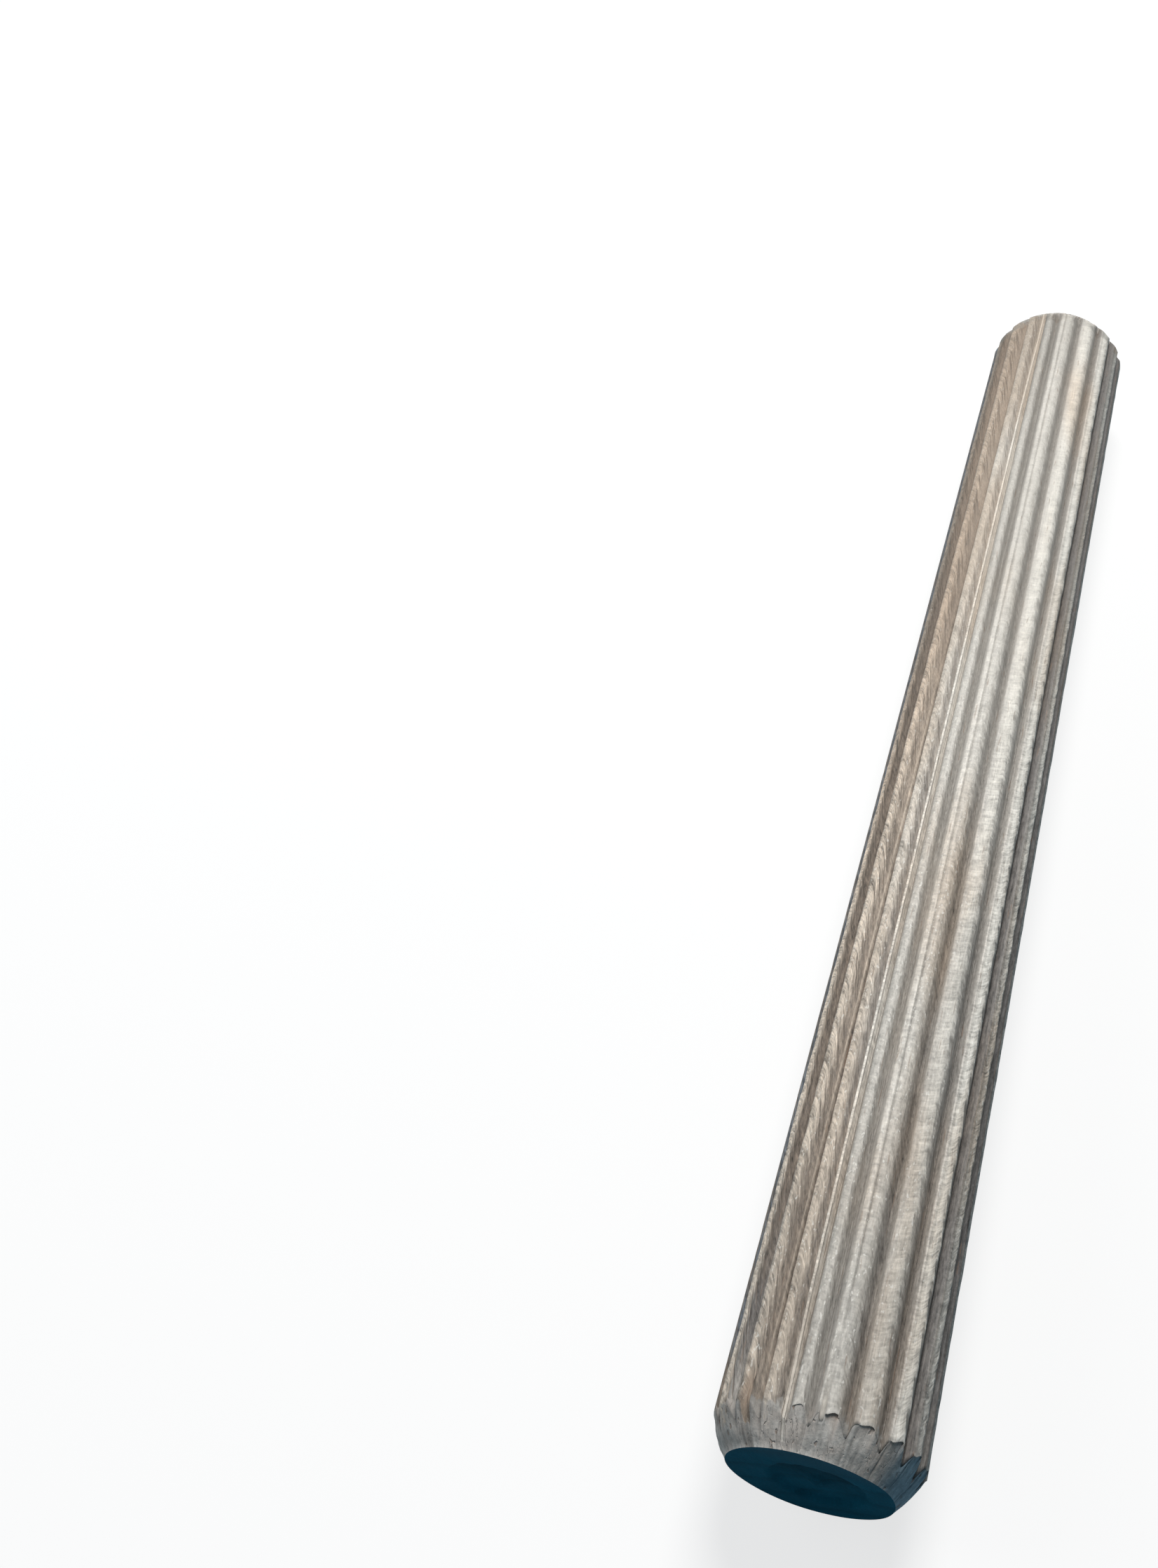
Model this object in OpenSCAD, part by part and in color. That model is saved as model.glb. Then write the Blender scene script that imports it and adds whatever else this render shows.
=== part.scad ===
// Fluted dowel pin: a turned beech rod with long flutes round it, chamfered at both ends.
// It lies along X with its origin at mid-length on its axis, and rests astride one flute.
// All lengths are in millimetres and all angles in degrees.

/* [Pin] */
// Diameter over the crests that the flutes leave
pin_diameter = 16; // [13:0.5:24]
// Length from end face to end face
pin_length = 140; // [40:1:300]

/* [Flutes] */
// Number of flutes round the pin
flute_count = 20; // [12:1:24]
// Depth of a flute below the crests
flute_depth = 0.7; // [0.4:0.05:1.2]
// Width of an average flute at its mouth
flute_width = 1.35; // [0.9:0.05:1.5]
// How much wider or narrower than that the flutes get where they spread out or bunch up
flute_width_spread = 0.15; // [0:0.05:0.3]
// How far the root of a flute leans to one side: 0 is the middle of its mouth and 1 its edge
flute_lean = 0.4; // [0:0.05:0.6]
// How far the flutes stray from their even places
flute_wander = 2.7; // [0:0.1:3.5]

/* [Ridge] */
// Which flute keeps a thin ridge along its middle, counted from the underside
ridge_flute = 11; // [0:1:11]
// Width of that ridge
ridge_width = 0.35; // [0.2:0.05:0.45]

/* [Ends] */
// Length of the chamfer along the pin
chamfer_length = 2.7; // [1:0.1:6]
// How far the chamfer brings the rim of the end face in from the crests
chamfer_depth = 1.8; // [1:0.1:2.6]
// Diameter of the shallow recess that is turned in each end face
recess_diameter = 7.6; // [4:0.1:11]
// Depth of the recess below the end face, beside its nub
recess_depth = 0.4; // [0.4:0.05:1]
// Width of the slope from the rim of the recess down to its floor
recess_slope = 0.5; // [0.1:0.1:1]
// Diameter of the nub that the turning leaves in the middle of the recess
nub_diameter = 1.6; // [0.8:0.1:2.4]
// Height of the nub above the floor of the recess
nub_height = 0.3; // [0.1:0.05:0.4]

/* [Hidden] */
$fn = 96;

wood = [0.73, 0.66, 0.58];
pin_radius = pin_diameter / 2;
flute_pitch = 360 / flute_count;
// The flutes bunch up and spread out this many times a turn, least of all at the pin's two sides
bunches = 4;
bunch_phase = 130;
// Straight steps across the curve of one flute
wave_steps = 12;
// How far a cutter runs past the surface that it opens
clear = 1;

// From -1 where the flutes are closest to 1 where they are furthest apart, for flute i
function spacing_wave(i) = cos(i * flute_pitch) * sin(bunches * i * flute_pitch + bunch_phase);

// Flute 0 is the one under the pin, at 180 degrees from the top
function flute_angle(i) = 180 + i * flute_pitch - flute_wander * (spacing_wave(i) - spacing_wave(0));

function width_of_flute(i) = flute_width + flute_width_spread * spacing_wave(i);

// Section of the cutter for one flute, opening towards +X. Half a cosine wave climbs from the root
// to each edge of the mouth, so the root and the edges are rounded. As the root leans to one side,
// that wall is steep and the other one gentle, like the teeth of a saw
module flute_section(width) {
    root_y = -flute_lean * width / 2;
    wave = [for (k = [-wave_steps / 2 : wave_steps / 2]) let (
        climb = 2 * k / wave_steps,
        y = root_y + climb * (width / 2 - sign(k) * root_y)
    ) [pin_radius - flute_depth * (1 + cos(180 * climb)) / 2, y]];
    mouth_x = pin_radius + clear;
    polygon(concat(wave, [[mouth_x, width / 2], [mouth_x, -width / 2]]));
}

module fluted_section() {
    difference() {
        circle(pin_radius);
        for (i = [0 : flute_count - 1]) rotate(flute_angle(i)) difference() {
            flute_section(width_of_flute(i));
            if (i == ridge_flute)
                translate([0, -ridge_width / 2]) square([pin_radius + 2 * clear, ridge_width]);
        }
    }
}

// The rod as it comes off the lathe, with chamfers, and a recess with a nub in each end face
module turned_rod() {
    half = pin_length / 2;
    recess_radius = recess_diameter / 2;
    recess_floor = half - recess_depth;
    end_profile = [
        [0, recess_floor + nub_height],
        [nub_diameter / 2, recess_floor],
        [recess_radius - recess_slope, recess_floor],
        [recess_radius, half],
        [pin_radius - chamfer_depth, half],
        [pin_radius, half - chamfer_length],
    ];
    last = len(end_profile) - 1;
    far_profile = [for (k = [last : -1 : 0]) [end_profile[k].x, -end_profile[k].y]];
    rotate_extrude() polygon(concat(end_profile, far_profile));
}

module dowel_pin() {
    color(wood) rotate([0, -90, 0]) intersection() {
        turned_rod();
        linear_extrude(pin_length, center = true) fluted_section();
    }
}

dowel_pin();
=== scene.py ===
"""Looks of a fluted beech dowel pin: the pin with its worn crests and cut ends, its wood, and the stage."""

import math
import random
from collections import namedtuple

import bmesh
import bpy
from bpy.props import FloatProperty, FloatVectorProperty, IntProperty, PointerProperty
from bpy.types import Operator, Panel, PropertyGroup
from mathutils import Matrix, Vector, noise


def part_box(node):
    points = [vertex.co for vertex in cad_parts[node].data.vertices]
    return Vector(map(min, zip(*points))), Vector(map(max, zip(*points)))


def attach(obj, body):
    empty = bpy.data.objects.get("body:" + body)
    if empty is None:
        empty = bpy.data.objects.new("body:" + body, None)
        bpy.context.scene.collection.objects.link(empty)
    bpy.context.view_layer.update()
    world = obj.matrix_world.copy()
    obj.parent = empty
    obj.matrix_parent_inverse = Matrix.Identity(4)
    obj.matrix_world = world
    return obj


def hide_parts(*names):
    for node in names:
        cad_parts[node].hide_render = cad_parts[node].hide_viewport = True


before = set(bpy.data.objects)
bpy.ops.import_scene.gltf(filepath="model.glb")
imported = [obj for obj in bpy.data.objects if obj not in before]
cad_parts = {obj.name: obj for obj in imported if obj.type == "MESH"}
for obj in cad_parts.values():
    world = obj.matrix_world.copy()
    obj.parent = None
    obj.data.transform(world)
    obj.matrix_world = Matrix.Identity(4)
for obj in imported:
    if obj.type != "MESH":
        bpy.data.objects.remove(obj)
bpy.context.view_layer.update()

bl_info = {
    "name": "Fluted Dowel Pin",
    "version": (1, 0, 0),
    "blender": (4, 5, 0),
    "location": "3D View > Sidebar > Dowel Pin",
    "description": "Makes a fluted beech dowel pin with worn crests and cut ends, and a stage for it",
    "category": "Add Mesh",
}

MM = 0.001
NODE = "dowel_pin"
BAKE_MAP = "OFBake"

PIN_LOW, PIN_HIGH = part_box(NODE)

# Lengths are in millimetres, except in the settings and on the stage, which are in metres. x runs from the
# near end of the pin at -70 to the far one.

# The flutes are spaced as in the solid: how often they bunch up in a turn and from what angle, how far they
# stray from even places, in degrees, and how much wider they get where they spread out
BUNCHES, BUNCH_PHASE = 4, 130
FLUTE_WANDER, WIDTH_SPREAD = 2.7, 0.15

# Lines of the mesh across the mouth of a flute, from -1 to 1 towards +Y, and across a crest the other way
FLUTE_PLACES = (-0.88, -0.72, -0.56, -0.14, 0.14, 0.42, 0.72, 0.88)
RIDGED_PLACES = (-0.88, -0.7, -0.54, -0.31, -0.24, -0.12, 0, 0.12, 0.24, 0.32, 0.46, 0.62, 0.82)
SEAMED_PLACES = (-0.88, -0.7, -0.52, -0.2, -0.06, 0.04, 0.15, 0.26, 0.4, 0.6, 0.82)
CREST_LINES = (1, 0.9, 0.68, 0.34, 0, -0.34, -0.66, -0.88, -1)
SPLIT_LINES = (1, 0.88, 0.55, 0.15, -0.2, -0.33, -0.45, -0.57, -0.69, -0.84, -1)

# How far short of an end face the rows of the shank stop, and the rows that run out to the chamfer start
SHANK_STOP, RUNOUT_START = 4.0, 3.7
# How far apart the rows of the shank are at the near end, and how much further at the far one
ROW_STEP, ROW_SPREAD = 0.46, 0.42
# Wood that is worn off every crest, and how far outside the crests the chamfer would start
WORN_OFF, CHAMFER_MOUTH = 0.02, 0.07
# How far the chamfer is hollowed out along the pin below a torn lip, and how far up the lip curls
LIP_HOLLOW, LIP_CURL = 0.45, 0.04
# How far the crests sway and ripple along the pin, and what share of their depth the flutes vary by
SWAY, RIPPLE, UNEVEN = 0.035, 0.05, 0.06

# Crests and flutes with a feature of their own, counted as in the solid. Sharp crests have crisp edges, the
# half sharp ones on their +Y side only. Full ones stand a little higher, and raised ones climb to the -Y edge
SPLIT_CREST = 9
SADDLED_CREST = TORN_CREST = 12
RIDGED_FLUTE = 11
SEAMED_FLUTE = 12
SHARP_CRESTS = (5, 6, 7, 13, 14)
HALF_SHARP_CRESTS = (9, 11)
FULL_CRESTS = (5, 14)
RAISED_CRESTS = {6: 0.09, 7: 0.03}
# Where the split runs across its crest, how deep it is, and how far the corner that it frees has dropped
SPLIT_PLACE, SPLIT_DEPTH, CORNER_DROP = -0.45, 0.1, 0.35
# How deep the saddle of its crest is, and how far the near tip of the torn one has dropped
SADDLE_DEPTH, TIP_DROP = 0.07, 0.28
# How far the top of the ridge stays below the crests, and how high the seam and the swelling beside it are
RIDGE_SHORT, SEAM_HEIGHT, SWELLING = 0.08, 0.08, 0.15

Line = namedtuple("Line", "turn across crest flute u")
Row = namedtuple("Row", "kind value side")
Spot = namedtuple("Spot", "x radius turn lip cut")

# What the materials read at each place: how far down in a flute it is, where across the crest and on which
# one, how much it is torn and how much cut at a slant, and how its wood looks, with painted light and shade
# carried in its tone, warmth and flute darkness
MARKS = ("sunk", "across", "crest", "lip", "cut", "tone", "warmth", "chatter", "slant", "dull_and_shade")

# How one crest looks: its tone and warmth, how much the cutter chattered along it and which way its marks
# lean, and its near tip, where a torn lip starts and ends across the crest, how far it stands out, and how
# much the tip is worn round
Crest = namedtuple("Crest", "tone warmth chatter slant lip_start lip_end lip soft")
# Tone is partly the wood's own and partly painted light and shade: on the -Y side, crests 4 and 5 are darker
# as painted shade where the pin turns from the lamps, and crest 7 is paler as painted light against the fall
# of the light
CRESTS = {
    4: Crest(0.58, 0.2, 1.0, -0.3, -1, 1, 0.4, 0.2),
    5: Crest(0.5, 0.1, 1.0, -0.4, -0.8, 1, 0.5, 0),
    6: Crest(1.12, 0.0, 0.9, -0.5, -1, 1, 0.5, 0),
    7: Crest(1.38, 0.0, 0.7, -0.6, -0.95, 1, 0.8, 0),
    8: Crest(1.18, 0.3, 0.4, -0.4, -0.45, 1, 0.8, 0),
    9: Crest(0.93, 0.2, 0.3, 0.0, -0.45, 1, 1.5, 0),
    10: Crest(0.95, 0.15, 0.35, 0.1, -1, 1, 0.4, 0.1),
    11: Crest(0.98, 0.7, 0.8, 0.8, 0, 0, 0, 0.7),
    12: Crest(1.26, 1.2, 1.1, 0.9, 0, 0, 0, 1.0),
    13: Crest(1.24, 1.6, 1.2, 0.3, -0.6, 0.8, 0.1, 0.7),
    14: Crest(0.85, 1.6, 1.0, 0.3, 0, 0, 0, 0.7),
}

# How dark a flute is painted, partly for its own duller pressed wood and partly as painted shade in it, most
# on the shaded -Y side: at its edge beside the crest before it, on its floor, at its root, on its wall and at
# its edge beside the crest after it, and how far its root leans beside the others
Flute = namedtuple("Flute", "before floor root wall after lean")
FLUTES = {
    5: Flute(0, 0.9, 1, 0.95, 0.6, 1),
    6: Flute(0.9, 1.5, 1.5, 1.5, 1.1, 1),
    7: Flute(0, 1.1, 1.2, 0.97, 0.66, 1),
    8: Flute(0.22, 0.67, 0.84, 0.84, 0.45, 1.5),
    9: Flute(0.1, 0.54, 0.88, 0.56, 0.42, 1.5),
    10: Flute(0.12, 0.46, 0.7, 0.05, 0.1, -0.6),
    11: Flute(0.3, 0.86, 0.42, 0.2, 0.12, 1),
    12: Flute(0.36, 0.8, 1.05, 0.4, 0, 1),
    13: Flute(0.5, 1, 0.97, 0.9, 0.3, 1),
    14: Flute(0.8, 1, 1, 0.7, 0, 1),
}
OTHER_FLUTE = Flute(0.2, 0.8, 0.85, 0.6, 0.2, 1)
# Flutes whose floor is painted blue-grey as painted cool shade, with the warmth that it has
COOL_FLUTES = {6: -0.45, 7: -0.25, 14: -1.3}

# Where along the pin the wood grows brighter or darker: the x at which a change starts, the x at which it is
# complete, and how much brighter the crest or duller the flute then is. Every crest has the first changes,
# and its own on top. The flank changes of crests 13 to 15 are painted shadow, darker on their far half and
# paler on their near one
EVERY_CREST_CHANGES = ((-40, -62, -0.2), (48, 66, -0.12))
FLANK_SHADOW_CHANGES = ((15, -30, 0.14), (-10, 20, -0.4))
CREST_CHANGES = {
    6: ((-40, -62, 0.15), (-50, -10, 0.3), (0, 35, -0.308)),
    7: ((-40, -62, 0.15),),
    8: ((-30, -10, 0.1),),
    10: ((-5, 25, -0.13), (30, 55, -0.12)),
    11: ((30, 55, -0.12),),
    12: ((-30, -55, -0.16), (-10, 45, -0.22), (-63.5, -67, -0.3)),
    13: FLANK_SHADOW_CHANGES,
    14: FLANK_SHADOW_CHANGES,
    15: FLANK_SHADOW_CHANGES,
}
FLUTE_CHANGES = {
    6: ((-58, -66, -0.5), (-20, 20, -0.25)),
    11: ((-50, 20, -0.4),),
    12: ((10, 45, -0.3),),
    13: ((10, 45, -0.3),),
}
# Where the crests cross a dim patch, how far it reaches along them, and how much darker each is there
DIM_PATCH, DIM_REACH = -38, 14
DIMMED_CRESTS = {8: 0.12, 9: 0.07, 10: 0.1, 13: 0.045, 14: 0.045, 15: 0.045}

# Lesser colours of the wood and of painted light and shade: tan patches, the painted cool shade of some flute
# floors, painted glints, torn edges with their painted highlight and the painted shade under them, the
# painted shade on the shaded side of the near chamfer, and the painted light on the upper edge of the near
# end face
TAN = (0.42, 0.27, 0.17)
COOL_SHADE_GREY = (0.125, 0.15, 0.18)
GLINT = (0.86, 0.83, 0.77)
TORN_EDGE_HIGHLIGHT = (0.8, 0.76, 0.7)
UNDER_LIP_SHADE = (0.5, 0.36, 0.28)
SHADED = (0.24, 0.4, 0.5)
LIT_FACE_EDGE = (0.04, 0.12, 0.17)
# Where the middle of the tree that the pin was cut from lies, beside the axis of the pin
HEART_Y, HEART_Z = -24.0, -46.0

# The lamps: where each is, how wide, how bright and of what colour. They all point at the middle of the pin
LAMPS = {
    "key": ((0.24, 0.0, 0.44), 0.24, 2.9, (1.0, 0.985, 0.96)),
    "window": ((0.0, 0.50, 0.30), 0.40, 0.85, (0.98, 0.985, 1.0)),
}
# The camera: where it is, how it is turned in degrees, its focal length and the width of its sensor in
# millimetres, how far its picture is shifted, and how near and far it sees
CAMERA_PLACE = (-0.102928, -0.006967, 0.120822)
CAMERA_TURN = (42.9218, 2.5373, -74.0439)
LENS, SENSOR = 35.69, 36
SHIFT_X, SHIFT_Y = -0.07907, -0.06632
SEES_FROM, SEES_TO = 0.001, 20
# How far the floor reaches from its middle, how much of it the camera sees as evenly pale, how strong the air
# is, and how bright the distance
FLOOR_REACH, PALE_SHARE, AIR_STRENGTH, DISTANCE = 4, 0.74, 0.14, 0.93


# Sizes and colours that a user would change


class PinSizes(PropertyGroup):
    radius: FloatProperty(
        name="Radius", description="From the axis to the worn crests", default=PIN_HIGH.z - 0.02 * MM,
        unit="LENGTH", precision=5)
    half_length: FloatProperty(
        name="Half length", description="From the middle of the pin to an end face", default=PIN_HIGH.x,
        unit="LENGTH", precision=5)
    flutes: IntProperty(name="Flutes", description="Flutes round the pin", default=20, min=12, max=24)
    flute_depth: FloatProperty(
        name="Flute depth", description="Depth of a flute below the crests", default=0.7 * MM,
        unit="LENGTH", precision=5)
    flute_lean: FloatProperty(
        name="Flute lean", description="How far the root of a flute leans to one side of its mouth",
        default=0.4, min=0, max=0.6)
    flute_width: FloatProperty(
        name="Flute width", description="Width of an average flute at its mouth", default=1.35 * MM,
        unit="LENGTH", precision=5)
    chamfer_length: FloatProperty(
        name="Chamfer length", description="Length of the chamfer along the pin", default=2.7 * MM,
        unit="LENGTH", precision=5)
    face_radius: FloatProperty(
        name="Face radius", description="From the axis to the rim of an end face", default=6.2 * MM,
        unit="LENGTH", precision=5)
    recess_radius: FloatProperty(
        name="Recess radius", description="From the axis to the edge of the recess in an end face",
        default=3.8 * MM, unit="LENGTH", precision=5)
    recess_depth: FloatProperty(
        name="Recess depth", description="Depth of that recess", default=0.4 * MM,
        unit="LENGTH", precision=5)
    wear: FloatProperty(
        name="Wear", description="How uneven the crests and flutes are", default=1, min=0, max=2)


class BeechColours(PropertyGroup):
    pale: FloatVectorProperty(
        name="Pale wood", description="Colour of the palest fibres", subtype="COLOR",
        default=(0.61, 0.575, 0.52), min=0, max=1)
    warm: FloatVectorProperty(
        name="Warm wood", description="Colour of the pinker patches", subtype="COLOR",
        default=(0.55, 0.465, 0.38), min=0, max=1)
    # The two flute floor colours are partly the pressed wood's own and partly painted shade, the dark that a
    # flute holds
    groove: FloatVectorProperty(
        name="Flute floor", description="Colour of the pressed wood down in the flutes", subtype="COLOR",
        default=(0.135, 0.122, 0.112), min=0, max=1)
    groove_warm: FloatVectorProperty(
        name="Warm flute floor", description="Colour of its browner stretches", subtype="COLOR",
        default=(0.15, 0.118, 0.092), min=0, max=1)
    fleck: FloatVectorProperty(
        name="Ray fleck", description="Colour of the small brown rays", subtype="COLOR",
        default=(0.22, 0.13, 0.08), min=0, max=1)
    chamfer: FloatVectorProperty(
        name="Chamfer", description="Colour of the wood cut at a slant", subtype="COLOR",
        default=(0.51, 0.485, 0.45), min=0, max=1)
    chamfer_warm: FloatVectorProperty(
        name="Warm chamfer", description="Colour of its pinker patches", subtype="COLOR",
        default=(0.45, 0.405, 0.365), min=0, max=1)
    # The near end grain colour is painted shade, a dark blue-green; the wood itself is the brown-grey of the
    # far end
    end_grain_and_shade: FloatVectorProperty(
        name="End grain", description="Colour of the wood cut square, at the near end", subtype="COLOR",
        default=(0.0025, 0.106, 0.168), min=0, max=1)
    far_end_grain: FloatVectorProperty(
        name="Far end grain", description="Colour of the wood cut square, at the far end", subtype="COLOR",
        default=(0.24, 0.18, 0.13), min=0, max=1)


class StageLook(PropertyGroup):
    floor: FloatVectorProperty(
        name="Floor", description="Colour of the floor", subtype="COLOR", default=(0.9, 0.9, 0.9),
        min=0, max=1)
    bounce: FloatVectorProperty(
        name="Bounce", description="Colour that the floor throws back on the pin", subtype="COLOR",
        default=(0.3, 0.37, 0.41), min=0, max=1)
    air: FloatVectorProperty(
        name="Air", description="Colour of the soft light from all round", subtype="COLOR",
        default=(0.48, 0.73, 0.92), min=0, max=1)


# The pin


def spacing_wave(flute, flutes):
    """From -1 where the flutes are closest to 1 where they are furthest apart."""
    turn = math.radians(flute * 360 / flutes)
    return math.cos(turn) * math.sin(BUNCHES * turn + math.radians(BUNCH_PHASE))


def flute_turn(flute, flutes):
    """Where a flute is, in degrees from the top of the pin towards +Y."""
    wave = spacing_wave(flute, flutes) - spacing_wave(0, flutes)
    return 180 + flute * 360 / flutes - FLUTE_WANDER * wave


def half_flute(flute, sizes):
    """Half the width of a flute at its mouth, in degrees."""
    width = sizes.flute_width + WIDTH_SPREAD * MM * spacing_wave(flute, sizes.flutes)
    return math.degrees(math.asin(width / 2 / sizes.radius))


def climb(u, lean):
    """How far up its wall a place in a flute is, from 0 at the root to 1 or -1 at the edges of the mouth."""
    return (u + lean) / (1 + lean if u > -lean else 1 - lean)


def flute_places(flute, lean):
    """Where the lines of the mesh run across one flute, with one of them in its root."""
    places = {RIDGED_FLUTE: RIDGED_PLACES, SEAMED_FLUTE: SEAMED_PLACES}.get(flute, FLUTE_PLACES)
    return sorted({*places, -lean})


def lean_of(flute, sizes):
    """How far the root of one flute leans."""
    return sizes.flute_lean * FLUTES.get(flute, OTHER_FLUTE).lean


def pin_lines(sizes):
    """The lengthwise lines of the mesh, once round the pin from the root of the flute under it. across runs
    from 1 to -1 over a crest towards +Y, and on to 2 and -2 at the roots of the flutes beside it."""
    lines = []
    for crest in range(sizes.flutes):
        lean, next_lean = lean_of(crest, sizes), lean_of(crest + 1, sizes)
        low, high = flute_turn(crest, sizes.flutes), flute_turn(crest + 1, sizes.flutes)
        half_low, half_high = half_flute(crest, sizes), half_flute(crest + 1, sizes)
        for u in flute_places(crest, lean):
            if u >= -lean:
                lines.append(Line(low + u * half_low, 2 - climb(u, lean), crest, crest, u))
        middle, half = (low + half_low + high - half_high) / 2, (high - half_high - low - half_low) / 2
        for across in SPLIT_LINES if crest == SPLIT_CREST else CREST_LINES:
            lines.append(Line(middle - across * half, across, crest, None, 0))
        for u in flute_places(crest + 1, next_lean):
            if u < -next_lean:
                lines.append(Line(high + u * half_high, -2 - climb(u, next_lean), crest, crest + 1, u))
    first = lines[0]
    lines.append(Line(first.turn + 360, *first[1:]))
    return lines


def bump_at(x, centre, width):
    """1 at the centre, falling away on both sides of it."""
    return math.exp(-(((x - centre) / width) ** 2))


def fade(x, start, end):
    """0 up to the start and 1 from the end on, with an easy slope between. The end may be below the start."""
    t = min(max((x - start) / (end - start), 0), 1)
    return t * t * (3 - 2 * t)


def follow(place, *knots):
    """Height of an easy curve through knots, each a place and a height, with the places falling."""
    for (high, at_high), (low, at_low) in zip(knots, knots[1:]):
        if place >= low:
            return at_low + (at_high - at_low) * fade(place, low, high)
    return knots[-1][1]


def changed(changes, x):
    """The factor that a list of changes along the pin comes to at one place."""
    return math.prod(1 + change * fade(x, start, end) for start, end, change in changes)


def all_crests(flutes):
    """The look of every crest, by side. The ones that no table gives are drawn by lot."""
    lot = random.Random(5)
    drawn = {}
    for crest in range(flutes):
        drawn[crest] = Crest(
            lot.uniform(0.85, 1.0), lot.uniform(0, 0.8), lot.uniform(0.3, 1), lot.uniform(-0.5, 0.6),
            lot.uniform(-1, -0.2), lot.uniform(0.6, 1), lot.choice((0, 0.4, 0.8, 1)), lot.uniform(0, 0.8))
    return {-1: {**drawn, **CRESTS}, 1: {k: drawn[(k * 7 + 3) % flutes] for k in drawn}}


def split_open(x):
    """How open the split is at one place along the pin. It nearly closes short of the near tip."""
    return 1 - 0.8 * fade(x, -57, -63)


def crest_height(line, x, height, radius):
    """Height of a crest at one line and place, with the features that only this crest has."""
    if line.crest in RAISED_CRESTS:
        height += RAISED_CRESTS[line.crest] * fade(line.across, -0.8, 0.7)
    elif line.crest in FULL_CRESTS:
        height = min(height + 0.03, radius)
    if line.crest == SADDLED_CREST:
        height -= SADDLE_DEPTH * bump_at(line.across, 0, 0.3)
    if line.crest == SPLIT_CREST:
        depth = SPLIT_DEPTH * (1 + 0.5 * noise.noise(Vector((x / 7, 1, 2)))) * split_open(x)
        height -= depth * bump_at(line.across, SPLIT_PLACE, 0.13)
        height -= CORNER_DROP * fade(x, -64, -67.3) * fade(line.across, -0.4, -0.6)
    if line.crest == TORN_CREST:
        height -= TIP_DROP * fade(x, -62, -67.5) * fade(line.across, -0.2, 0.3)
    return height


def flute_height(line, x, height, radius, ripple):
    """Height of the wall of a flute at one line and place, with its thin ridge or its seam."""
    if line.flute == RIDGED_FLUTE:
        top = radius - RIDGE_SHORT - 0.5 * fade(x, -57, -67.5) - 0.45 * fade(x, 45, 66) + 0.5 * ripple
        height = max(height, height + (top - height) * (1 - fade(abs(line.u), 0.2, 0.33)))
    if line.flute == SEAMED_FLUTE:
        height += SWELLING * bump_at(line.u, -0.65, 0.25)
        height += SEAM_HEIGHT * bump_at(line.u, 0.15, 0.09) * fade(x, -67, -62) * (1 - fade(x, -30, 10))
    return height


def shank_radius(line, x, sizes, chatter):
    """Distance of the shank from the axis at one line and one place along the pin."""
    radius, wear = sizes.radius / MM, sizes.wear
    sway = wear * SWAY * noise.noise(Vector((x / 11, line.crest * 3.7, 0.5)))
    along = x + 0.5 * line.across ** 2
    ripple = wear * chatter * RIPPLE * noise.noise(
        Vector((along / 1.5, line.crest * 5.1, 0.4 * line.across)))
    keen = line.crest in SHARP_CRESTS or line.crest in HALF_SHARP_CRESTS and line.across < 0
    rounding, shoulder = (0.03, 0.75) if keen else (0.1, 0.3)
    if line.crest in SHARP_CRESTS:
        sway = abs(sway) * 0.5
    edge = rounding * (1 + 0.4 * noise.noise(Vector((x / 9, line.crest * 2.3, 8))))
    if line.flute is None:
        worn = max(abs(line.across) - shoulder, 0) / (1 - shoulder)
        return crest_height(line, x, radius - WORN_OFF - edge * worn ** 2 + sway + ripple, radius)
    uneven = wear * UNEVEN * noise.noise(Vector((x / 17, line.flute * 2.9, 7)))
    deep = sizes.flute_depth / MM * (1 + uneven) - edge
    up = climb(line.u, lean_of(line.flute, sizes))
    wall = radius - WORN_OFF - edge + sway - deep * (1 + math.cos(math.pi * up)) / 2 + ripple * up * up
    return flute_height(line, x, wall, radius, ripple)


def dullness_and_shade(line, x):
    """How far the wood at one line takes the dark colour of a flute, from 0 to 1, and darker still above 1:
    partly the flute's own duller wood and partly painted shade.
    """
    if line.flute is None:
        right, left = (FLUTES.get(flute, OTHER_FLUTE) for flute in (line.crest, line.crest + 1))
        return right.before * fade(line.across, 0.4, 1) + left.after * fade(line.across, -0.2, -1)
    flute = FLUTES.get(line.flute, OTHER_FLUTE)
    dull_and_shade = follow(
        line.u,
        (1, flute.before), (0.76, flute.floor), (-0.3, flute.root), (-0.8, flute.wall), (-1, flute.after))
    dull_and_shade *= changed(FLUTE_CHANGES.get(line.flute, ()), x)
    if line.flute in (8, 9, 12) and line.u > -0.45:
        dull_and_shade *= 1 - 0.2 * fade(x, -45, 0)
    if line.flute == 8 and line.u < -0.2:
        dull_and_shade -= 0.12 * bump_at(x, -5, 25)
    if line.flute > RIDGED_FLUTE:
        dull_and_shade *= 1 - 0.25 * fade(x, -61, -67)
    if line.flute == RIDGED_FLUTE:
        dull_and_shade *= fade(abs(line.u), 0.22, 0.34)
    if line.flute == SEAMED_FLUTE:
        dull_and_shade *= 1 - 0.6 * bump_at(line.u, 0.15, 0.1) * (1 - fade(x, -10, 20))
    return dull_and_shade


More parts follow.
